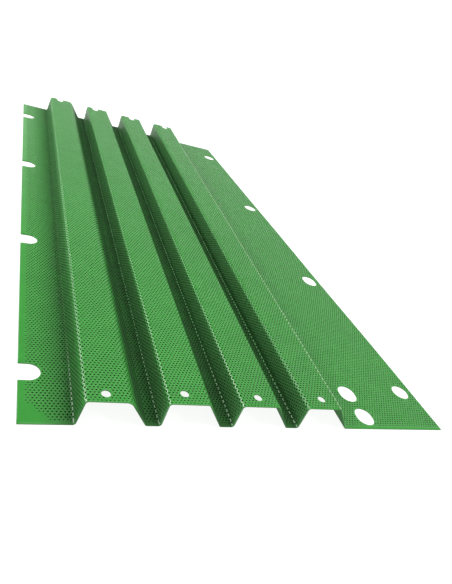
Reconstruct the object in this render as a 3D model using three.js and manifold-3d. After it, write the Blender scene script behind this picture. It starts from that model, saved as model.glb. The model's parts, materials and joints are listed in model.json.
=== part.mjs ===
// Ribbed sheet panel: one sheet, folded into four ribs between two flat flanges.
// Millimetres, +Z up. The ribs run along +Y, and the sheet stands on its floors and flanges at Z = 0.

import * as THREE from "three";
import { mergeVertices } from "three/addons/utils/BufferGeometryUtils.js";
import Module from "manifold-3d";

// The sheet
const THICKNESS = 1.5;
const LENGTH = 844;

// Radii of the folds at mid-thickness, and how many flat facets each fold has
const FLOOR_FOLD_RADIUS = 2.4;
const CREST_FOLD_RADIUS = 3.2;
const SOFT_FOLD_RADIUS = 9; // where the first rib's crest meets its sloping web
const FOLD_STEPS = 5;

// Its section, from the left edge to the right edge. Each rib's foot is a whole number of pitches from zero.
const RIB_COUNT = 4;
const RIB_PITCH = 72;
const RIB_HEIGHT = 27; // floor surface to crest surface
const CREST_WIDTH = 38.5;
const STEEP_WEB_RUN = 1;
const FIRST_WEB_RUN = 4; // the first rib's steep web leans more, so its foot is left of X = 0
const SLOPING_WEB_RUN = 19.2;
const LEFT_FLANGE = 48.5; // from X = 0
const RIGHT_FLANGE_NEAR = 136.5;
const RIGHT_FLANGE_FAR = 81;

// U-shaped notches along the left edge, and holes of the same width along the slanted right edge. The holes
// are round, but for one that is drawn out towards the near end by the given stretch.
const HOLE_RADIUS = 11;
const HOLE_SIDES = 40;
const NOTCH_COUNT = 4;
const NOTCH_DEPTH = 19.6;
const NOTCH_START = 61;
const NOTCH_PITCH = 238;
const EDGE_HOLE_STRETCHES = [0, 4, 0, 0];
const EDGE_HOLE_INSET = 17;
const EDGE_HOLE_START = 59;
const EDGE_HOLE_PITCH = 243;

// Two more of those holes at the near end, drawn out a little along the ribs by the given stretch
const NEAR_HOLES = [
  { fromLastRib: 32, along: 50.5, stretch: 3.2 },
  { fromLastRib: 35.7, along: 16, stretch: 2.6 },
];

// One small hole near the start of each crest, and a U-shaped notch in its far end. Their places vary a
// little from rib to rib: across is from the rib's foot, and along is from the near end.
const CREST_HOLE_RADIUS = 4.25;
const CREST_HOLES = [
  { across: 18.3, along: 9.6 },
  { across: 17.6, along: 13.2 },
  { across: 20.2, along: 12 },
  { across: 21.8, along: 13.4 },
];
const END_NOTCH_RADIUS = 5.5;
const END_NOTCH_DEPTH = 14;
const END_NOTCHES_ACROSS = [17.8, 16.6, 22.4, 24.2];

const LAST_RIB_END = (RIB_COUNT - 1) * RIB_PITCH + STEEP_WEB_RUN + CREST_WIDTH + SLOPING_WEB_RUN;
const LEFT_EDGE = -LEFT_FLANGE;
const RIGHT_EDGE_NEAR = LAST_RIB_END + RIGHT_FLANGE_NEAR;
const RIGHT_EDGE_FAR = LAST_RIB_END + RIGHT_FLANGE_FAR;

// Every cutter runs past the sheet by this much on each side.
const OVERRUN = 10;
const CUT_BOTTOM = -OVERRUN;
const CUT_HEIGHT = THICKNESS + RIB_HEIGHT + 2 * OVERRUN;

// The section's corners at mid-thickness, each with the radius of its fold. The two edges have none.
function sectionCorners() {
  const floor = THICKNESS / 2;
  const crest = floor + RIB_HEIGHT;
  const corners = [];
  const add = (x, z, radius) => corners.push({ place: new THREE.Vector2(x, z), radius });
  add(LEFT_EDGE, floor, 0);
  for (let rib = 0; rib < RIB_COUNT; rib += 1) {
    const first = rib === 0;
    const crestStart = rib * RIB_PITCH + STEEP_WEB_RUN;
    const crestEnd = crestStart + CREST_WIDTH;
    add(crestStart - (first ? FIRST_WEB_RUN : STEEP_WEB_RUN), floor, FLOOR_FOLD_RADIUS);
    add(crestStart, crest, CREST_FOLD_RADIUS);
    add(crestEnd, crest, first ? SOFT_FOLD_RADIUS : CREST_FOLD_RADIUS);
    add(crestEnd + SLOPING_WEB_RUN, floor, FLOOR_FOLD_RADIUS);
  }
  add(RIGHT_EDGE_NEAR, floor, 0);
  return corners;
}

function upwardNormal(direction) {
  return new THREE.Vector2(-direction.y, direction.x);
}

// The points of one rounded fold, each with the sheet's upward normal there.
function foldPoints(before, corner, after) {
  const { place, radius } = corner;
  const incoming = place.clone().sub(before.place).normalize();
  const outgoing = after.place.clone().sub(place).normalize();
  const turn = Math.asin(incoming.cross(outgoing));
  const side = Math.sign(turn);
  const setback = radius * Math.tan(Math.abs(turn) / 2);
  const start = place.clone().addScaledVector(incoming, -setback);
  const normal = upwardNormal(incoming);
  const centre = start.addScaledVector(normal, side * radius);
  const points = [];
  for (let step = 0; step <= FOLD_STEPS; step += 1) {
    const turned = normal.clone().rotateAround(new THREE.Vector2(), (turn * step) / FOLD_STEPS);
    const point = centre.clone().addScaledVector(turned, -side * radius);
    points.push({ point, normal: turned });
  }
  return points;
}

function sectionShape() {
  const corners = sectionCorners();
  const up = new THREE.Vector2(0, 1);
  const line = [{ point: corners[0].place, normal: up }];
  for (let i = 1; i < corners.length - 1; i += 1) {
    line.push(...foldPoints(corners[i - 1], corners[i], corners[i + 1]));
  }
  line.push({ point: corners[corners.length - 1].place, normal: up });
  const upper = line.map(({ point, normal }) => point.clone().addScaledVector(normal, THICKNESS / 2));
  const lower = line.map(({ point, normal }) => point.clone().addScaledVector(normal, -THICKNESS / 2));
  return new THREE.Shape([...lower, ...upper.reverse()]);
}

function foldedSheet() {
  const geometry = new THREE.ExtrudeGeometry(sectionShape(), { depth: LENGTH, bevelEnabled: false });
  geometry.rotateX(Math.PI / 2);
  geometry.translate(0, LENGTH, 0);
  return geometry;
}

// A flat outline in X and Y, as a cutter that passes right through the sheet.
function throughCut(shape) {
  const geometry = new THREE.ExtrudeGeometry(shape, {
    depth: CUT_HEIGHT,
    bevelEnabled: false,
    curveSegments: HOLE_SIDES / 2,
  });
  geometry.translate(0, 0, CUT_BOTTOM);
  return geometry;
}

function roundCut(x, y, radius) {
  const geometry = new THREE.CylinderGeometry(radius, radius, CUT_HEIGHT, HOLE_SIDES);
  geometry.rotateX(Math.PI / 2);
  geometry.translate(x, y, CUT_BOTTOM + CUT_HEIGHT / 2);
  return geometry;
}

// A slot along Y with round ends, between the centres of its ends.
function slotCut(x, nearCentre, farCentre, radius) {
  const shape = new THREE.Shape();
  shape.absarc(x, farCentre, radius, 0, Math.PI);
  shape.absarc(x, nearCentre, radius, Math.PI, 2 * Math.PI);
  shape.closePath();
  return throughCut(shape);
}

// A notch with parallel sides and a round inner end, open at the left edge.
function edgeNotch(y) {
  const centre = LEFT_EDGE + NOTCH_DEPTH - HOLE_RADIUS;
  const outside = LEFT_EDGE - OVERRUN;
  const shape = new THREE.Shape();
  shape.moveTo(outside, y - HOLE_RADIUS);
  shape.lineTo(centre, y - HOLE_RADIUS);
  shape.absarc(centre, y, HOLE_RADIUS, -Math.PI / 2, Math.PI / 2);
  shape.lineTo(outside, y + HOLE_RADIUS);
  shape.closePath();
  return throughCut(shape);
}

function rightEdgeAt(y) {
  return RIGHT_EDGE_NEAR + ((RIGHT_EDGE_FAR - RIGHT_EDGE_NEAR) * y) / LENGTH;
}

// What is outside the slanted right edge.
function rightEdgeTrim() {
  const outside = RIGHT_EDGE_NEAR + OVERRUN;
  const farEnd = LENGTH + OVERRUN;
  const shape = new THREE.Shape();
  shape.moveTo(rightEdgeAt(-OVERRUN), -OVERRUN);
  shape.lineTo(outside, -OVERRUN);
  shape.lineTo(outside, farEnd);
  shape.lineTo(rightEdgeAt(farEnd), farEnd);
  shape.closePath();
  return throughCut(shape);
}

function everyCut() {
  const cuts = [rightEdgeTrim()];
  for (let i = 0; i < NOTCH_COUNT; i += 1) {
    cuts.push(edgeNotch(NOTCH_START + i * NOTCH_PITCH));
  }
  for (let i = 0; i < EDGE_HOLE_STRETCHES.length; i += 1) {
    const y = EDGE_HOLE_START + i * EDGE_HOLE_PITCH;
    const x = rightEdgeAt(y) - EDGE_HOLE_INSET;
    const stretch = EDGE_HOLE_STRETCHES[i];
    cuts.push(stretch > 0 ? slotCut(x, y - stretch, y, HOLE_RADIUS) : roundCut(x, y, HOLE_RADIUS));
  }
  for (const { fromLastRib, along, stretch } of NEAR_HOLES) {
    cuts.push(slotCut(LAST_RIB_END + fromLastRib, along, along + stretch, HOLE_RADIUS));
  }
  const endNotchCentre = LENGTH - END_NOTCH_DEPTH + END_NOTCH_RADIUS;
  for (let rib = 0; rib < RIB_COUNT; rib += 1) {
    const foot = rib * RIB_PITCH;
    const { across, along } = CREST_HOLES[rib];
    cuts.push(roundCut(foot + across, along, CREST_HOLE_RADIUS));
    const notchX = foot + END_NOTCHES_ACROSS[rib];
    cuts.push(slotCut(notchX, endNotchCentre, LENGTH + OVERRUN, END_NOTCH_RADIUS));
  }
  return cuts;
}

function toSolid(wasm, geometry) {
  geometry.deleteAttribute("normal");
  geometry.deleteAttribute("uv");
  const merged = mergeVertices(geometry);
  const mesh = new wasm.Mesh({
    numProp: 3,
    vertProperties: Float32Array.from(merged.attributes.position.array),
    triVerts: Uint32Array.from(merged.index.array),
  });
  return new wasm.Manifold(mesh);
}

function toGeometry(solid) {
  const mesh = solid.getMesh();
  const geometry = new THREE.BufferGeometry();
  geometry.setAttribute("position", new THREE.BufferAttribute(mesh.vertProperties, 3));
  geometry.setIndex(new THREE.BufferAttribute(mesh.triVerts, 1));
  geometry.computeVertexNormals();
  return geometry;
}

const wasm = await Module();
wasm.setup();

let sheet = toSolid(wasm, foldedSheet());
for (const cut of everyCut()) {
  sheet = sheet.subtract(toSolid(wasm, cut));
}

const greenPaint = new THREE.MeshStandardMaterial({ color: 0x3f9c3c, roughness: 0.4, metalness: 0 });
const panel = new THREE.Mesh(toGeometry(sheet), greenPaint);
panel.name = "ribbed_sheet";
panel.position.set(-(LEFT_EDGE + RIGHT_EDGE_NEAR) / 2, -LENGTH / 2, 0);

const part = new THREE.Group();
part.add(panel);

export default part;
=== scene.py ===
# Ribbed sheet panel: a finely pitted, green-painted sheet, folded into four ribs between two flat
# flanges. The sheet is laid out flat, pitted, and then folded. A flat place is (across, along):
# across from the left edge at mid-thickness, along from the near end. The sheet's sizes are in
# millimetres until its mesh is made. Those of the materials, floor, lamps and camera are in metres.

import json
import math

import bpy
import numpy as np
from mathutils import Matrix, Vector
from mathutils.geometry import delaunay_2d_cdt


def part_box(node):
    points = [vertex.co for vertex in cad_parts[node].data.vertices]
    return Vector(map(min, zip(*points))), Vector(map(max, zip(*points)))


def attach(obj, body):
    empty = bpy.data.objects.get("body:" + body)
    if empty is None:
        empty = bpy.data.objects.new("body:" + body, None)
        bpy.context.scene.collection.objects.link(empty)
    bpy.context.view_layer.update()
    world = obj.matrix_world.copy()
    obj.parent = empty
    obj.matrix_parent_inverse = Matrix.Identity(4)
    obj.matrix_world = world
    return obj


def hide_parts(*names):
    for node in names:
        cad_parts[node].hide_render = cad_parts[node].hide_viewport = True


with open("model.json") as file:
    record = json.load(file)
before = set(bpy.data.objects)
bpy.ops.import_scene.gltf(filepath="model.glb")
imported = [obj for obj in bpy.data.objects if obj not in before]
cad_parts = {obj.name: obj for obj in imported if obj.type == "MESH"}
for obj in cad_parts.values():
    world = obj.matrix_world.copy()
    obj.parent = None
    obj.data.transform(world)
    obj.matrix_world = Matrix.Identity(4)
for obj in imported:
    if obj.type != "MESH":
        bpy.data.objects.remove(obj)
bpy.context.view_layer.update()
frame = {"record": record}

NODE = "ribbed_sheet"
MM = 0.001
LOW, HIGH = (np.array(corner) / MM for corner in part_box(NODE))
LENGTH = HIGH[1] - LOW[1]

# The sheet and its section, as the CAD solid has them
THICKNESS = 1.5
FLOOR_FOLD_RADIUS = 2.4  # the three fold radii are at mid-thickness
CREST_FOLD_RADIUS = 3.2
SOFT_FOLD_RADIUS = 9  # where the first rib's crest meets its sloping web
LEFT_FLANGE = 48.5
RIB_COUNT = 4
RIB_PITCH = 72
RIB_HEIGHT = HIGH[2] - LOW[2] - THICKNESS
CREST_WIDTH = 38.5
STEEP_WEB_RUN = 1
FIRST_WEB_RUN = 4
SLOPING_WEB_RUN = 19.2
RIGHT_TAPER = 55.5
HOLE_RADIUS = 11
EDGE_HOLE_STRETCH = (0, 4, 0, 0)
NEAR_HOLE_STRETCH = (3.2, 2.6)
NOTCH_DEPTH = 19.6
CREST_HOLE_RADIUS = 4.25
END_NOTCH_RADIUS = 5.5
END_NOTCH_DEPTH = 14

# The pits: a triangular lattice, punched before the sheet was folded
PIT_PITCH = 3.5
ROW_PITCH = PIT_PITCH * math.sqrt(3) / 2
PIT_RADIUS = 0.9
PIT_FLOOR_RADIUS = 0.68
SMALLEST_PIT = 0.7  # the share of the full radius that the shallowest pits have
PIT_DEPTH = 0.9
PIT_VARIATION = 0.05
PIT_SEED = 7
RIM_CORNERS = 6
FLOOR_CORNERS = 3
FIRST_CORNER = 30  # degrees
LEFT_MARGIN = 8
FLOOR_MARGIN = 5
CREST_MARGIN = 3
CORNER_MARGIN = 34  # across plus along where the pattern's near left corner is cut off
MARGIN_FADE = 6
SHALLOWEST = 0.12  # pits with less strength are left out

# Where the paint is darker: partly dirt, partly painted shade, in the troughs and by the first
# rib's foot
DIRT_AND_SHADE_RISE = 0.35  # the share of the ribs' height in which it fades out below the crests
DIRT_AND_SHADE_REACH = 28  # how far it spreads from the first rib's foot
LEFT_FLANGE_DIRT_AND_SHADE = 0.9
FIRST_WEB_DIRT_AND_SHADE = 0.7
STEEP_WEB_DIRT_AND_SHADE = 0.3

# Which way the strips of the folds face where the painted highlights lie
LEFT_FACING = (-0.7, 0, 0.714)
RIGHT_FACING = (0.5, 0, 0.866)

# Edges, seams between bands, and how finely outlines are divided
EDGE_ROUND = 0.2
SEAM_INSET = 6
SEAM_SHIFT = 0.25  # in pit pitches: a line there passes between the pits of every row
FLAT_STEP = 3.2
FOLD_STEP = 0.55
SIDE_STEP = 6
SEAM_STEP = 12
CIRCLE_STEPS = 40

# The right flange's slow waves
WAVE_HEIGHT = 0.7
WAVE_LENGTH = 310
WAVE_START = 30  # from the last rib's end

# Tolerances and amounts of the reckoning
SECTION_SAMPLES = 20000
MOST_AT_ONCE = 1500
NEARLY_STRAIGHT = 0.02  # the sine of a turn that counts as none
CLOSE = 0.01
WELD = 1e-6
INSIDE_OUTLINE = 1  # the fill's mode that leaves nothing outside the outline

# The mesh's material slots
PAINT_SLOT = 0
PIT_SLOT = 1


def section_corners():
    """The section's corners at mid-thickness: rows of (X, Z, fold radius), 0 at its two edges."""
    floor = THICKNESS / 2
    crest = floor + RIB_HEIGHT
    corners = [(LOW[0], floor, 0)]
    for rib in range(RIB_COUNT):
        start = LOW[0] + LEFT_FLANGE + rib * RIB_PITCH + STEEP_WEB_RUN
        run = STEEP_WEB_RUN if rib else FIRST_WEB_RUN
        corners.append((start - run, floor, FLOOR_FOLD_RADIUS))
        corners.append((start, crest, CREST_FOLD_RADIUS))
        corners.append((start + CREST_WIDTH, crest, CREST_FOLD_RADIUS if rib else SOFT_FOLD_RADIUS))
        corners.append((start + CREST_WIDTH + SLOPING_WEB_RUN, floor, FLOOR_FOLD_RADIUS))
    corners.append((HIGH[0], floor, 0))
    return np.array(corners)


def section_elements():
    """The section's straights and folds in order, and the sheet's flat width.

    A row has its start (across, X, Z), its heading there and its bend.
    """
    corners = section_corners()
    corners, radii = corners[:, :2], corners[:, 2]
    sides = np.diff(corners, axis=0)
    lengths = np.hypot(sides[:, 0], sides[:, 1])
    headings = np.arctan2(sides[:, 1], sides[:, 0])
    turns = np.diff(headings)
    setbacks = np.concatenate([[0], radii[1:-1] * np.tan(np.abs(turns) / 2), [0]])
    directions = np.stack([np.cos(headings), np.sin(headings)], axis=1)
    rows = []
    across = 0.0
    place = corners[0]
    for i, heading in enumerate(headings):
        straight = lengths[i] - setbacks[i] - setbacks[i + 1]
        rows.append((across, place[0], place[1], heading, 0.0))
        across += straight
        if i == len(turns):
            break
        place = place + straight * directions[i]
        bend = math.copysign(1 / radii[i + 1], turns[i])
        rows.append((across, place[0], place[1], heading, bend))
        across += abs(turns[i]) * radii[i + 1]
        place = corners[i + 1] + setbacks[i + 1] * directions[i + 1]
    return np.array(rows), across


ELEMENTS, FLAT_WIDTH = section_elements()


def element_at(across):
    found = np.searchsorted(ELEMENTS[:, 0], across, side="right") - 1
    return ELEMENTS[np.clip(found, 0, len(ELEMENTS) - 1)].T


def folded(across, along, lift):
    """Where the folded sheet has points of the flat one. Lift is from mid-thickness."""
    start, x, z, heading, bend = element_at(across)
    run = across - start
    angle = heading + bend * run
    curved = bend != 0
    divisor = np.where(curved, bend, 1)
    x = x + np.where(curved, (np.sin(angle) - np.sin(heading)) / divisor, np.cos(heading) * run)
    z = z + np.where(curved, (np.cos(heading) - np.cos(angle)) / divisor, np.sin(heading) * run)
    x = x - np.sin(angle) * lift
    z = z + np.cos(angle) * lift + flange_wave(across, along)
    return np.stack([x, LOW[1] + along, z], axis=1)


def flange_wave(across, along):
    """How much the right flange rises in slow waves, away from the last rib."""
    start = ELEMENTS[-1, 0] + WAVE_START
    reach = np.clip((across - start) / (FLAT_WIDTH - start), 0, 1)
    swell = (1 - np.cos(2 * math.pi * along / WAVE_LENGTH)) / 2
    return WAVE_HEIGHT * reach * reach * swell


def unfolded(x):
    """How far across the flat sheet a flat stretch of the section has this X."""
    samples = np.linspace(0, FLAT_WIDTH, SECTION_SAMPLES)
    return float(np.interp(x, folded(samples, np.zeros_like(samples), 0)[:, 0], samples))


def openings(prefix):
    """The record's openings of one kind, as flat places of their centres."""
    places = []
    for opening in frame["record"]["physics"]["openings"]:
        if opening["name"].startswith(prefix):
            x, y, _ = np.mean(opening["box_m"], axis=0) / MM
            places.append((unfolded(x), y - LOW[1]))
    return places


def line_points(start, end, step):
    """Points on a straight line, without its end."""
    start = np.array(start, float)
    end = np.array(end, float)
    count = max(1, round(np.linalg.norm(end - start) / step))
    return [start + (end - start) * i / count for i in range(count)]


def arc_points(centre, radius, start, end):
    """Points on an arc, both ends included. Angles are in degrees."""
    count = max(1, round(CIRCLE_STEPS * abs(end - start) / 360))
    angles = np.radians(np.linspace(start, end, count + 1))
    return [np.array(centre) + radius * np.array([math.cos(a), math.sin(a)]) for a in angles]


def across_stops():
    """Where the cut ends have points: every few millimetres on straights, and closer in folds."""
    ends = np.append(ELEMENTS[1:, 0], FLAT_WIDTH)
    stops = []
    for (start, _, _, _, bend), end in zip(ELEMENTS, ends):
        count = max(1, math.ceil((end - start) / (FOLD_STEP if bend else FLAT_STEP)))
        stops.extend(start + (end - start) * np.arange(count) / count)
    return np.array(stops)


def stops_between(first, last):
    stops = across_stops()
    return [first, *stops[(stops > first + EDGE_ROUND) & (stops < last - EDGE_ROUND)]]


def far_edge(first, last):
    """The far end from right to left, with its U-shaped notches."""
    points = [np.array([s, LENGTH]) for s in [last, *reversed(stops_between(first, last)[1:])]]
    inner_centre = LENGTH - END_NOTCH_DEPTH + END_NOTCH_RADIUS
    for centre, _ in openings("end_notch"):
        if first < centre < last:
            right, left = centre + END_NOTCH_RADIUS, centre - END_NOTCH_RADIUS
            before = [p for p in points if p[0] > right + EDGE_ROUND]
            after = [p for p in points if p[0] < left - EDGE_ROUND]
            arc = arc_points((centre, inner_centre), END_NOTCH_RADIUS, 0, -180)
            points = [*before, np.array([right, LENGTH]), *arc, np.array([left, LENGTH]), *after]
    return points


def left_edge():
    """The sheet's left edge from far to near, with its U-shaped notches."""
    points = []
    place = (0, LENGTH)
    for _, along in sorted(openings("left_notch"), key=lambda notch: -notch[1]):
        far_side, near_side = along + HOLE_RADIUS, along - HOLE_RADIUS
        centre = (NOTCH_DEPTH - HOLE_RADIUS, along)
        points += line_points(place, (0, far_side), SIDE_STEP)
        points.append(np.array([0, far_side]))
        points += arc_points(centre, HOLE_RADIUS, 90, -90)
        place = (0, near_side)
    return points + line_points(place, (0, 0), SIDE_STEP)


def hole_points(place, radius, stretch=0):
    """A round hole's outline, or a slot's along the ribs if it is stretched, clockwise."""
    across, along = place
    far = arc_points((across, along + stretch / 2), radius, 180, 0)
    near = arc_points((across, along - stretch / 2), radius, 0, -180)
    return np.array(far + near if stretch else far[:-1] + near[:-1])


def band_outline(first, last):
    """One flat band's outline, anticlockwise, and which of its edges are the sheet's own."""
    near = [np.array([s, 0.0]) for s in stops_between(first, last)]
    right_is_edge = last == FLAT_WIDTH
    far_corner = (last - RIGHT_TAPER * right_is_edge, LENGTH)
    right = line_points((last, 0), far_corner, SIDE_STEP if right_is_edge else SEAM_STEP)
    far = far_edge(first, far_corner[0])
    left_is_edge = first == 0
    left = left_edge() if left_is_edge else line_points((first, LENGTH), (first, 0), SEAM_STEP)
    sides = ((near, True), (right, right_is_edge), (far, True), (left, left_is_edge))
    flags = np.concatenate([np.full(len(points), own) for points, own in sides])
    return np.array(near + right + far + left), flags


def band_loops(first, last):
    """Every loop of one band: its outline, then its holes, clockwise."""
    loops = [band_outline(first, last)]
    wide = [*openings("right_edge_hole"), *openings("near_hole")]
    stretches = EDGE_HOLE_STRETCH + NEAR_HOLE_STRETCH
    holes = [(place, HOLE_RADIUS, stretch) for place, stretch in zip(wide, stretches)]
    holes += [(place, CREST_HOLE_RADIUS, 0) for place in openings("crest_hole")]
    for place, radius, stretch in holes:
        if first < place[0] < last:
            points = hole_points(place, radius, stretch)
            loops.append((points, np.ones(len(points), bool)))
    return loops


def inset(points, own):
    """Moves the sheet's own edges inwards by their rounding, and leaves seams where they are."""
    sides = np.roll(points, -1, axis=0) - points
    sides = sides / np.linalg.norm(sides, axis=1)[:, None]
    after = np.stack([-sides[:, 1], sides[:, 0]], axis=1)
    before = np.roll(after, 1, axis=0)
    shift_after = np.where(own, EDGE_ROUND, 0)
    shift_before = np.roll(shift_after, 1)
    cross = before[:, 0] * after[:, 1] - before[:, 1] * after[:, 0]
    straight = np.abs(cross) < NEARLY_STRAIGHT
    divisor = np.where(straight, 1, cross)
    corner = np.stack(
        [
            (shift_before * after[:, 1] - shift_after * before[:, 1]) / divisor,
            (shift_after * before[:, 0] - shift_before * after[:, 0]) / divisor,
        ],
        axis=1,
    )
    side = after * ((shift_after + shift_before) / 2)[:, None]
    return points + np.where(straight[:, None], side, corner)


def in_parts(test, points):
    """Runs a test on many points a part at a time, to save memory."""
    starts = range(0, len(points), MOST_AT_ONCE)
    return np.concatenate([test(points[start : start + MOST_AT_ONCE]) for start in starts])


def inside(points, starts, ends):
    """Which points are inside an odd number of loops."""

    def test(some):
        x, y = some[:, 0, None], some[:, 1, None]
        spans = (starts[:, 1] > y) != (ends[:, 1] > y)
        rise = np.where(ends[:, 1] == starts[:, 1], 1, ends[:, 1] - starts[:, 1])
        crossing = starts[:, 0] + (y - starts[:, 1]) / rise * (ends[:, 0] - starts[:, 0])
        return (spans & (x < crossing)).sum(axis=1) % 2 == 1

    return in_parts(test, points)


def distance(points, starts, ends):
    """How far each point is from the nearest edge."""
    sides = ends - starts
    squares = (sides**2).sum(axis=1)

    def test(some):
        offset = some[:, None, :] - starts
        share = np.clip((offset * sides).sum(axis=2) / squares, 0, 1)
        return np.sqrt(((offset - share[:, :, None] * sides) ** 2).sum(axis=2).min(axis=1))

    return in_parts(test, points)


def pit_strength(across, along):
    """From 0 where the sheet is plain to 1 where pits are full. They fade out at the margins."""
    height = folded(across, along, 0)[:, 2] / RIB_HEIGHT
    near_margin = FLOOR_MARGIN + (CREST_MARGIN - FLOOR_MARGIN) * np.clip(height, 0, 1)
    room = np.minimum(across - LEFT_MARGIN, along - near_margin)
    room = np.minimum(room, (across + along - CORNER_MARGIN) / math.sqrt(2))
    return np.clip(room / MARGIN_FADE + 0.5, 0, 1)


def seams():
    """The bands' limits. Each seam is on a flat floor, on a line that passes between the pits."""
    feet = LOW[0] + LEFT_FLANGE + RIB_PITCH * np.arange(RIB_COUNT)
    rib_ends = feet + STEEP_WEB_RUN + CREST_WIDTH + SLOPING_WEB_RUN
    wanted = [feet[0] - FIRST_WEB_RUN - SEAM_INSET]
    wanted += list((rib_ends[:-1] + feet[1:]) / 2)
    wanted.append(rib_ends[-1] + SEAM_INSET)
    pitches = [round(unfolded(x) / PIT_PITCH - SEAM_SHIFT) + SEAM_SHIFT for x in wanted]
    return [0, *[count * PIT_PITCH for count in pitches], FLAT_WIDTH]


def pit_centres(first, last, loops):
    """One band's lattice: a grid of pit numbers, -1 where there is no room, and pit centres."""
    rows = np.arange(int(LENGTH / ROW_PITCH) + 1)
    columns = np.arange(int(first / PIT_PITCH) - 1, int(last / PIT_PITCH) + 2)
    row, column = np.meshgrid(rows, columns, indexing="ij")
    across = (column + 0.5 * (row % 2)) * PIT_PITCH
    along = (row + 0.5) * ROW_PITCH
    centres = np.stack([across.ravel(), along.ravel()], axis=1)
    widest = PIT_RADIUS * (1 + PIT_VARIATION)
    half_width = widest * math.cos(math.pi / 6)
    kept = (centres[:, 0] > first + half_width) & (centres[:, 0] < last - half_width)
    starts = np.concatenate([points for points, _ in loops])
    ends = np.concatenate([np.roll(points, -1, axis=0) for points, _ in loops])
    own = np.concatenate([flags for _, flags in loops])
    kept[kept] = inside(centres[kept], starts, ends)
    kept[kept] = distance(centres[kept], starts[own], ends[own]) > widest + 2 * EDGE_ROUND
    numbers = np.full(len(centres), -1)
    numbers[kept] = np.arange(kept.sum())
    return numbers.reshape(row.shape), centres[kept]


def neighbours(numbers):
    """For each pit its neighbours to the right, the upper right and the upper left, or -1."""
    padded = np.pad(numbers, 1, constant_values=-1)
    right = padded[1:-1, 2:]
    above = padded[2:, 1:-1]
    above_right = padded[2:, 2:]
    above_left = padded[2:, :-2]
    odd = (np.arange(len(numbers)) % 2 == 1)[:, None]
    upper_right = np.where(odd, above_right, above)
    upper_left = np.where(odd, above, above_left)
    real = numbers >= 0
    return numbers[real], right[real], upper_right[real], upper_left[real]


def quads(a, b, c, d):
    return np.concatenate([np.stack([a, b, c], axis=1), np.stack([a, c, d], axis=1)])


def web_between_pits(numbers):
    """The surface between neighbouring pits' rims, whose corners are numbered pit after pit."""
    pit, right, upper_right, upper_left = neighbours(numbers)

    def rim(which, corner):
        return RIM_CORNERS * which + corner

    faces = []
    pairs = ((right, (5, 3, 2, 0)), (upper_right, (0, 4, 3, 1)), (upper_left, (1, 5, 4, 2)))
    for other, (first, second, third, fourth) in pairs:
        both = other >= 0
        a, b = pit[both], other[both]
        faces.append(quads(rim(a, first), rim(b, second), rim(b, third), rim(a, fourth)))
    threes = ((right, upper_right, (0, 2, 4)), (upper_right, upper_left, (1, 3, 5)))
    for second, third, corners in threes:
        real = (second >= 0) & (third >= 0)
        pits = (pit[real], second[real], third[real])
        faces.append(np.stack([rim(*corner) for corner in zip(pits, corners)], axis=1))
    return np.concatenate(faces)


def caps(pits):
    """Flat six-sided faces that close rims."""
    corners = ((0, 1, 2), (0, 2, 3), (0, 3, 5), (3, 4, 5))
    return np.concatenate([RIM_CORNERS * pits[:, None] + np.array(corner) for corner in corners])


def border(faces):
    """The edges that only one face has, in that face's direction."""
    edges = np.concatenate([faces[:, [0, 1]], faces[:, [1, 2]], faces[:, [2, 0]]])
    keys = np.sort(edges, axis=1)
    _, where, counts = np.unique(keys, axis=0, return_index=True, return_counts=True)
    return edges[where[counts == 1]]


def filled(points, outline, holes, extra=()):
    """Triangles that fill the space between an outline and holes, each given by its edges."""
    every = [tuple(int(i) for i in edge) for edge in [*outline, *holes, *extra]]
    vectors = [Vector(point) for point in points]
    _, _, faces, sources, _, _ = delaunay_2d_cdt(vectors, every, [], INSIDE_OUTLINE, WELD)
    if any(len(source) != 1 for source in sources):
        raise ValueError("two outlines of the sheet touch or cross")
    source = np.array([s[0] for s in sources])
    triangles = source[np.array(faces)]
    middles = points[triangles].mean(axis=1)
    return triangles[~inside(middles, points[holes[:, 0]], points[holes[:, 1]])]


def loop_edges(loops):
    """Each loop's edges as pairs of vertex numbers, for loops that are stored one after another."""
    edges = []
    first = 0
    for points, _ in loops:
        numbers = first + np.arange(len(points))
        edges.append(np.stack([numbers, np.roll(numbers, -1)], axis=1))
        first += len(points)
    return np.concatenate(edges)


def fold_lines(points):
    """Pairs of end points that keep the underside's triangles in line with the folds."""
    near = {round(s, 3): i for i, (s, y) in enumerate(points) if y < FLAT_STEP / 2}
    far = {round(s, 3): i for i, (s, y) in enumerate(points) if y > LENGTH - FLAT_STEP / 2}
    ends = np.append(ELEMENTS[1:, 0], FLAT_WIDTH)
    lines = []
    for s in sorted(set(near) & set(far)):
        folds = (ELEMENTS[:, 4] != 0) & (ELEMENTS[:, 0] <= s + CLOSE) & (ends >= s - CLOSE)
        if folds.any():
            lines.append((near[s], far[s]))
    return lines


def walls(edges, upper, lower):
    """Faces down the side of the sheet between two rings, given each ring's first vertex number."""
    a, b = edges[:, 0], edges[:, 1]
    return quads(b + upper, a + upper, a + lower, b + lower)


def pit_faces(pits, rims, floors):
    """Each pit's tapered wall and three-cornered floor, given its rim's and floor's vertices."""
    faces = []
    for third in range(FLOOR_CORNERS):
        rim = [rims + RIM_CORNERS * pits + (2 * third + step) % RIM_CORNERS for step in range(3)]
        floor = floors + third
        next_floor = floors + (third + 1) % FLOOR_CORNERS
        faces.append(np.stack([rim[0], rim[1], floor], axis=1))
        faces.append(np.stack([rim[1], next_floor, floor], axis=1))
        faces.append(np.stack([rim[1], rim[2], next_floor], axis=1))
    faces.append(np.stack([floors, floors + 1, floors + 2], axis=1))
    return np.concatenate(faces)


def ring(centres, radii, corners):
    """Evenly spaced points round each centre, one centre after another."""
    turns = np.radians(FIRST_CORNER + 360 / corners * np.arange(corners))
    offsets = np.stack([np.cos(turns), np.sin(turns)], axis=1)
    return (centres[:, None, :] + radii[:, None, None] * offsets).reshape(-1, 2)


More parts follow.
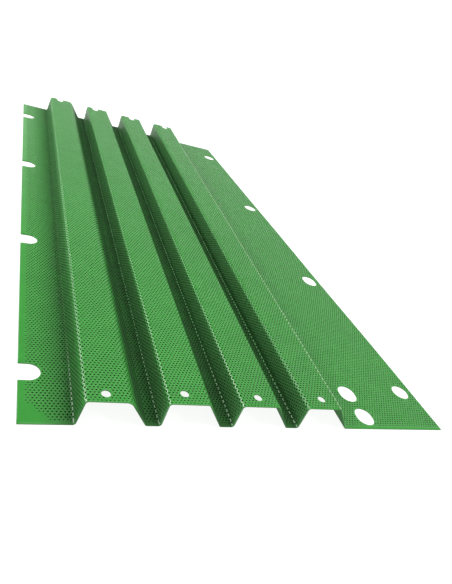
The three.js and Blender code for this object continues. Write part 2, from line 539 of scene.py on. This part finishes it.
def dirt_shade_and_sheen_levels(across):
    """Darkening (part soiling, part painted shade), up to 1 in troughs and by the first rib's foot;
    painted sheen, 1 on steep webs.
    """
    x, _, z = folded(across, np.zeros_like(across), 0).T
    x = x - LOW[0] - LEFT_FLANGE
    low = np.clip((1 - z / RIB_HEIGHT) / DIRT_AND_SHADE_RISE, 0, 1)
    beside = np.clip(1 + (x + FIRST_WEB_RUN) / DIRT_AND_SHADE_REACH, 0, 1)
    first_web = (x >= -FIRST_WEB_RUN) & (x < STEEP_WEB_RUN)
    steep = ~first_web & (x % RIB_PITCH < STEEP_WEB_RUN) & (z > FLOOR_FOLD_RADIUS)
    last_crest = (RIB_COUNT - 1) * RIB_PITCH + STEEP_WEB_RUN
    share = np.where(steep, STEEP_WEB_DIRT_AND_SHADE, 1.0)
    share = np.where(first_web, FIRST_WEB_DIRT_AND_SHADE, share)
    share = np.where(x < -FIRST_WEB_RUN, LEFT_FLANGE_DIRT_AND_SHADE * beside, share)
    return np.where(x > last_crest, 0, low * share), steep


def make_mesh(name, vertices, faces, slots, levels, materials):
    mesh = bpy.data.meshes.new(name)
    mesh.vertices.add(len(vertices))
    mesh.vertices.foreach_set("co", (vertices * MM).astype(np.float32).ravel())
    mesh.loops.add(3 * len(faces))
    mesh.loops.foreach_set("vertex_index", faces.astype(np.int32).ravel())
    mesh.polygons.add(len(faces))
    mesh.polygons.foreach_set("loop_start", np.arange(0, 3 * len(faces), 3, dtype=np.int32))
    mesh.polygons.foreach_set("material_index", slots.astype(np.int32))
    sharp = mesh.attributes.new("sharp_face", "BOOLEAN", "FACE")
    sharp.data.foreach_set("value", slots == PIT_SLOT)
    for material in materials:
        mesh.materials.append(material)
    for level_name, values in levels.items():
        attribute = mesh.attributes.new(level_name, "FLOAT", "POINT")
        attribute.data.foreach_set("value", values.astype(np.float32))
    mesh.update(calc_edges=True)
    piece = bpy.data.objects.new(name, mesh)
    bpy.context.scene.collection.objects.link(piece)
    return piece


def make_band(name, first, last, random, materials):
    """One band of the folded sheet as a closed body."""
    loops = band_loops(first, last)
    outer = np.concatenate([points for points, _ in loops])
    inner = np.concatenate([inset(points, own) for points, own in loops])
    edges = loop_edges(loops)
    numbers, centres = pit_centres(first, last, loops)
    strength = pit_strength(centres[:, 0], centres[:, 1])
    strength = strength * (1 + PIT_VARIATION * random.uniform(-1, 1, len(centres)))
    pitted = strength > SHALLOWEST
    radii = PIT_RADIUS * (SMALLEST_PIT + (1 - SMALLEST_PIT) * np.clip(strength, 0, 1))
    floor_radii = radii[pitted] * PIT_FLOOR_RADIUS / PIT_RADIUS
    rims = ring(centres, radii, RIM_CORNERS)
    floors = ring(centres[pitted], floor_radii, FLOOR_CORNERS)

    every = np.arange(len(centres))
    web = web_between_pits(numbers)
    rim_border = border(np.concatenate([web, caps(every)]))
    top_points = np.concatenate([inner, rims])
    own_edges, own_holes = np.split(edges, [len(loops[0][0])])
    top = filled(top_points, own_edges, np.concatenate([own_holes, rim_border + len(inner)]))

    half = THICKNESS / 2
    count = len(inner)
    rims_at = count
    floors_at = rims_at + len(rims)
    rounded_at = floors_at + len(floors)
    base_round_at = rounded_at + count
    base_at = base_round_at + count
    flat = np.concatenate([inner, rims, floors, outer, outer, inner])
    lift = np.full(len(flat), half)
    depths = PIT_DEPTH * np.clip(strength[pitted], 0, 1)
    lift[floors_at:rounded_at] = half - np.repeat(depths, FLOOR_CORNERS)
    lift[rounded_at:base_round_at] = half - EDGE_ROUND
    lift[base_round_at:base_at] = EDGE_ROUND - half
    lift[base_at:] = -half

    underside = filled(inner, own_edges, own_holes, fold_lines(inner))[:, ::-1] + base_at
    first_floor_corners = floors_at + FLOOR_CORNERS * np.arange(pitted.sum())
    pits = pit_faces(every[pitted], rims_at, first_floor_corners)
    plain = [
        top,
        web + rims_at,
        caps(every[~pitted]) + rims_at,
        walls(edges, 0, rounded_at),
        walls(edges, rounded_at, base_round_at),
        walls(edges, base_round_at, base_at),
        underside,
    ]
    plain = np.concatenate(plain)
    slots = np.repeat([PAINT_SLOT, PIT_SLOT], [len(plain), len(pits)])
    vertices = folded(flat[:, 0], flat[:, 1], lift)
    # Darker troughs and first rib's foot: partly dirt, partly painted shade. Paler steep webs:
    # painted sheen.
    dirt_and_shade, web_sheen = dirt_shade_and_sheen_levels(flat[:, 0])
    bend = element_at(flat[:, 0])[4] * FLOOR_FOLD_RADIUS
    # Below mid-thickness, on the underside and the deepest pits' floors, the level is always 1:
    # painted shade.
    levels = {"bend": bend, "dirt_and_shade": np.where(lift > 0, dirt_and_shade, 1), "web_sheen": web_sheen}
    return make_mesh(name, vertices, np.concatenate([plain, pits]), slots, levels, materials)


def node(tree, kind, inputs=None, **settings):
    """Adds a shader node with its options and inputs. An input is a value, or a socket to link."""
    made = tree.nodes.new(kind)
    for option, value in settings.items():
        setattr(made, option, value)
    for key, value in (inputs or {}).items():
        if isinstance(value, bpy.types.NodeSocket):
            tree.links.new(value, made.inputs[key])
        else:
            made.inputs[key].default_value = value
    return made


def ramp(tree, factor, stops):
    """A colour ramp from (position, colour) stops."""
    made = node(tree, "ShaderNodeValToRGB", {"Fac": factor})
    elements = made.color_ramp.elements
    while len(elements) < len(stops):
        elements.new(0.5)
    for element, (position, colour) in zip(elements, stops):
        element.position = position
        element.color = (*colour, 1)
    return made.outputs["Color"]


def noise(tree, scale, detail=3.0, roughness=0.5):
    coordinates = node(tree, "ShaderNodeTexCoord").outputs["Object"]
    inputs = {"Vector": coordinates, "Scale": scale, "Detail": detail, "Roughness": roughness}
    return node(tree, "ShaderNodeTexNoise", inputs).outputs["Fac"]


def blank_material(name):
    material = bpy.data.materials.new(name)
    material.use_nodes = True
    tree = material.node_tree
    return material, tree, tree.nodes["Principled BSDF"]


def level(tree, name):
    """One of the mesh's own attributes, as an input for other nodes."""
    return node(tree, "ShaderNodeAttribute", attribute_name=name).outputs["Fac"]


def mapped(tree, value, first, last, to_first, to_last):
    """A value that goes from one number to another while the given one goes from first to last."""
    source = {"Value": value, "From Min": first, "From Max": last}
    target = {"To Min": to_first, "To Max": to_last}
    return node(tree, "ShaderNodeMapRange", {**source, **target}).outputs["Result"]


def mixed(tree, factor, first, second):
    """A blend of two colours. Each of them is a socket or a plain colour.

    The node numbers its sockets for all data types together: colours are inputs 6 and 7, output 2.
    """
    made = node(tree, "ShaderNodeMix", data_type="RGBA")
    tree.links.new(factor, made.inputs[0])
    for number, colour in ((6, first), (7, second)):
        if isinstance(colour, bpy.types.NodeSocket):
            tree.links.new(colour, made.inputs[number])
        else:
            made.inputs[number].default_value = (*colour, 1)
    return made.outputs[2]


def product(tree, first, second):
    return node(tree, "ShaderNodeMath", {0: first, 1: second}, operation="MULTIPLY").outputs[0]


def bump(tree, shader, height, strength):
    inputs = {"Height": height, "Strength": strength, "Distance": BUMP_DISTANCE}
    tree.links.new(node(tree, "ShaderNodeBump", inputs).outputs["Normal"], shader.inputs["Normal"])


def painted_highlight(tree, direction, bend, width, axis, reach):
    """How strong a painted highlight is on a strip of the hollow folds (bend 1) or tight ridges
    (bend -1).

    The strip faces one direction, its width is in cosines, and the reach maps one axis to the
    amount.
    """
    normal = node(tree, "ShaderNodeNewGeometry").outputs["Normal"]
    inputs = {0: normal, 1: direction}
    turned = node(tree, "ShaderNodeVectorMath", inputs, operation="DOT_PRODUCT").outputs["Value"]
    strip = mapped(tree, turned, *width, 0.0, 1.0)
    on_fold = mapped(tree, level(tree, "bend"), 0.3 * bend, 0.5 * bend, 0.0, 1.0)
    place = node(tree, "ShaderNodeTexCoord").outputs["Object"]
    along = node(tree, "ShaderNodeSeparateXYZ", {"Vector": place}).outputs[axis]
    fade = mapped(tree, along, *reach)
    patchy = mapped(tree, noise(tree, 90, 3), 0.35, 0.6, 0.6, 1.0)
    return product(tree, product(tree, strip, on_fold), product(tree, fade, patchy))


PAINT_RAMP = [
    (0.3, (0.030, 0.275, 0.029)),
    (0.55, (0.034, 0.300, 0.032)),
    (0.75, (0.042, 0.327, 0.039)),
]
PATCH_COLOUR = (0.030, 0.205, 0.028)
# Colour of the darker troughs, first rib's foot and underside: partly dirt, partly painted shade.
DIRT_AND_SHADE_COLOUR = (0.031, 0.104, 0.031)
# Paler, greyer colour of the steep webs: painted sheen.
WEB_SHEEN_COLOUR = (0.088, 0.220, 0.088)
# Pale colour of the painted highlights on the folds.
HIGHLIGHT_COLOUR = (0.74, 0.82, 0.72)
# The pits' dark inside: painted shade, partly dust.
PIT_SHADE_RAMP = [(0.3, (0.005, 0.024, 0.005)), (0.7, (0.009, 0.042, 0.008))]
# Darker still in the troughs and the deepest pits: painted shade, partly dirt.
PIT_DIRT_AND_SHADE_COLOUR = (0.006, 0.018, 0.007)
FLOOR_RAMP = [(0.3, (0.28, 0.28, 0.28)), (0.7, (0.32, 0.32, 0.32))]
GLOW_RAMP = [(0.3, (0.98, 0.98, 0.98)), (0.7, (1, 1, 1))]
BUMP_DISTANCE = 0.0001

# Paint's roughness varies between two values; where dirt and painted shade lie it rises and its
# sheen dulls.
CLEAN_ROUGHNESS = (0.24, 0.36)
DIRT_AND_SHADE_ROUGHNESS = 0.4
CLEAN_SHEEN = 0.42
DIRT_AND_SHADE_SHEEN = 0.12
PIT_ROUGHNESS = 0.65
PIT_SHEEN = 0.05
FLOOR_ROUGHNESS = 0.8
FLOOR_GLOW = 0.9

# Painted highlights on the folds: the way the strip faces, its fold's bend, its width, the axis and
# reach of the highlight's fade, and its colour. The second is at the feet right of the first rib's,
# and the fourth on the last rib only.
NARROW_STRIP = (0.97, 0.992)
WIDE_STRIP = (0.92, 0.97)
HIGHLIGHT_STRIPS = (
    (LEFT_FACING, -1, NARROW_STRIP, "Y", (-0.42, -0.22, 0.65, 0.1), HIGHLIGHT_COLOUR),
    (LEFT_FACING, 1, WIDE_STRIP, "X", (-0.15, -0.14, 0.0, 0.9), (0.34, 0.80, 0.34)),
    (LEFT_FACING, 1, WIDE_STRIP, "Y", (-0.42, -0.3, 0.5, 0.0), HIGHLIGHT_COLOUR),
    (RIGHT_FACING, -1, WIDE_STRIP, "X", (0.05, 0.06, 0.0, 0.7), (0.55, 0.76, 0.44)),
)


def green_paint():
    """Satin green paint, mottled, with painted highlights on tight folds and painted sheen on steep
    webs.

    Darker in the troughs, by the first rib's foot and underneath: part soiling, part painted shade.
    """
    material, tree, shader = blank_material("green_paint")
    fine = ramp(tree, noise(tree, 40, 4, 0.6), PAINT_RAMP)
    broad = mapped(tree, noise(tree, 5, 2), 0.35, 0.65, 0.0, 0.22)
    mottle = mixed(tree, broad, fine, PATCH_COLOUR)
    patchy = mapped(tree, noise(tree, 55, 5, 0.7), 0.25, 0.6, 0.72, 1.0)
    # Darker in the troughs, by the first rib's foot and underneath: partly dirt, partly painted
    # shade.
    dirt_and_shade_share = product(tree, level(tree, "dirt_and_shade"), patchy)
    with_dirt_and_shade = mixed(tree, dirt_and_shade_share, mottle, DIRT_AND_SHADE_COLOUR)
    # Paler, greyer steep webs: painted sheen.
    web_sheen = mapped(tree, level(tree, "web_sheen"), 0.0, 1.0, 0.0, 0.65)
    colour = mixed(tree, web_sheen, with_dirt_and_shade, WEB_SHEEN_COLOUR)
    # Painted highlights on the folds.
    for direction, bend, width, axis, reach, highlight in HIGHLIGHT_STRIPS:
        colour = mixed(tree, painted_highlight(tree, direction, bend, width, axis, reach), colour, highlight)
    tree.links.new(colour, shader.inputs["Base Color"])
    smooth = mapped(tree, noise(tree, 60), 0.0, 1.0, *CLEAN_ROUGHNESS)
    caked = mapped(tree, level(tree, "dirt_and_shade"), 0.0, 1.0, 0.0, DIRT_AND_SHADE_ROUGHNESS)
    rough = node(tree, "ShaderNodeMath", {0: smooth, 1: caked}, operation="ADD").outputs[0]
    tree.links.new(rough, shader.inputs["Roughness"])
    sheen = mapped(tree, level(tree, "dirt_and_shade"), 0.0, 1.0, CLEAN_SHEEN, DIRT_AND_SHADE_SHEEN)
    tree.links.new(sheen, shader.inputs["Specular IOR Level"])
    bump(tree, shader, noise(tree, 700, 2), 0.25)
    return material


def pit_painted_shade():
    """The paint inside the pits, very dark: painted shade, part soiling; darker still in troughs
    and deepest pits.
    """
    material, tree, shader = blank_material("pit_painted_shade")
    # Dark inside of the pits: painted shade, partly dust; darker in the troughs and the deepest
    # pits.
    pit_shade = ramp(tree, noise(tree, 130, 4), PIT_SHADE_RAMP)
    colour = mixed(tree, level(tree, "dirt_and_shade"), pit_shade, PIT_DIRT_AND_SHADE_COLOUR)
    tree.links.new(colour, shader.inputs["Base Color"])
    shader.inputs["Roughness"].default_value = PIT_ROUGHNESS
    shader.inputs["Specular IOR Level"].default_value = PIT_SHEEN
    bump(tree, shader, noise(tree, 1800), 0.4)
    return material


def pale_floor():
    """A backlit white floor, so bright that the sheet leaves almost no shadow on it."""
    material, tree, shader = blank_material("pale_floor")
    tree.links.new(ramp(tree, noise(tree, 1.5), FLOOR_RAMP), shader.inputs["Base Color"])
    tree.links.new(ramp(tree, noise(tree, 1.5), GLOW_RAMP), shader.inputs["Emission Color"])
    shader.inputs["Emission Strength"].default_value = FLOOR_GLOW
    shader.inputs["Roughness"].default_value = FLOOR_ROUGHNESS
    return material


FLOOR_RADIUS = 5.0
CURVE_RADIUS = 1.5  # of the curve from the floor up into the wall
CURVE_STEPS = 12
WALL_HEIGHT = 3.0
FLOOR_GAP = 0.0004  # between the floor and the sheet
FLOOR_SIDES = 96


def studio_floor():
    """A round floor that curves up into a wall, all in one sheet."""
    profile = [(0.0, 0.0), (FLOOR_RADIUS, 0.0)]
    for step in range(1, CURVE_STEPS + 1):
        angle = math.pi / 2 * step / CURVE_STEPS
        run, rise = math.sin(angle), 1 - math.cos(angle)
        profile.append((FLOOR_RADIUS + CURVE_RADIUS * run, CURVE_RADIUS * rise))
    profile.append((FLOOR_RADIUS + CURVE_RADIUS, WALL_HEIGHT))
    vertices = []
    for radius, height in profile[1:]:
        for side in range(FLOOR_SIDES):
            turn = 2 * math.pi * side / FLOOR_SIDES
            vertices.append((radius * math.cos(turn), radius * math.sin(turn), height - FLOOR_GAP))
    faces = [list(range(FLOOR_SIDES))]
    for step in range(len(profile) - 2):
        for side in range(FLOOR_SIDES):
            a = step * FLOOR_SIDES + side
            b = step * FLOOR_SIDES + (side + 1) % FLOOR_SIDES
            faces.append([a, b, b + FLOOR_SIDES, a + FLOOR_SIDES])
    mesh = bpy.data.meshes.new("studio_floor")
    mesh.from_pydata(vertices, [], faces)
    mesh.materials.append(pale_floor())
    floor = bpy.data.objects.new("studio_floor", mesh)
    bpy.context.scene.collection.objects.link(floor)


# Each lamp's name, place, aim, size and power
LAMPS = (
    ("top", (0.35, -0.25, 1.9), (0, 0, 0), 1.4, 29),
    ("glint", (-0.92, 0.6, 0.63), (-0.1, -0.3, 0), 0.15, 6),
)
SKY_LIGHT = 0.37
SKY_SEEN = 1.0  # the sky's strength where the camera itself sees it


def softbox(name, place, aim, size, power):
    light = bpy.data.lights.new(name, "AREA")
    light.shape = "SQUARE"
    light.size = size
    light.energy = power
    lamp = bpy.data.objects.new(name, light)
    lamp.location = place
    lamp.rotation_euler = (Vector(aim) - Vector(place)).to_track_quat("-Z", "Y").to_euler()
    bpy.context.scene.collection.objects.link(lamp)


def studio_light():
    """Two soft lamps, and a dim sky that looks as white as the floor."""
    world = bpy.data.worlds.new("studio")
    world.use_nodes = True
    background = world.node_tree.nodes["Background"]
    background.inputs["Color"].default_value = (1, 1, 1, 1)
    seen = node(world.node_tree, "ShaderNodeLightPath").outputs["Is Camera Ray"]
    strength = mapped(world.node_tree, seen, 0.0, 1.0, SKY_LIGHT, SKY_SEEN)
    world.node_tree.links.new(strength, background.inputs["Strength"])
    bpy.context.scene.world = world
    for lamp in LAMPS:
        softbox(*lamp)


CAMERA_PLACE = (-0.2705, -0.7383, 0.3454)
CAMERA_TURN = (59.436, -19.212, -17.477)  # degrees about X, Y and Z
CAMERA_LENS = 33.12  # millimetres, as is the sensor
CAMERA_SENSOR = 36.0
NEAREST_SEEN = 0.01


def make_camera():
    data = bpy.data.cameras.new("camera")
    data.lens = CAMERA_LENS
    data.sensor_width = CAMERA_SENSOR
    data.clip_start = NEAREST_SEEN
    camera = bpy.data.objects.new("camera", data)
    camera.location = CAMERA_PLACE
    camera.rotation_euler = [math.radians(turn) for turn in CAMERA_TURN]
    bpy.context.scene.collection.objects.link(camera)
    bpy.context.scene.camera = camera


def make_sheet():
    """The sheet in six bands, which meet on its flat floors."""
    random = np.random.default_rng(PIT_SEED)
    materials = [green_paint(), pit_painted_shade()]
    limits = seams()
    names = ["left_flange", *[f"rib_{i + 1}" for i in range(RIB_COUNT)], "right_flange"]
    for name, first, last in zip(names, limits, limits[1:]):
        piece = make_band(f"sheet_{name}", first, last, random, materials)
        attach(piece, "root")
        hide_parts(NODE)


bpy.context.scene.view_settings.view_transform = "Standard"
make_camera()
studio_light()
studio_floor()
make_sheet()
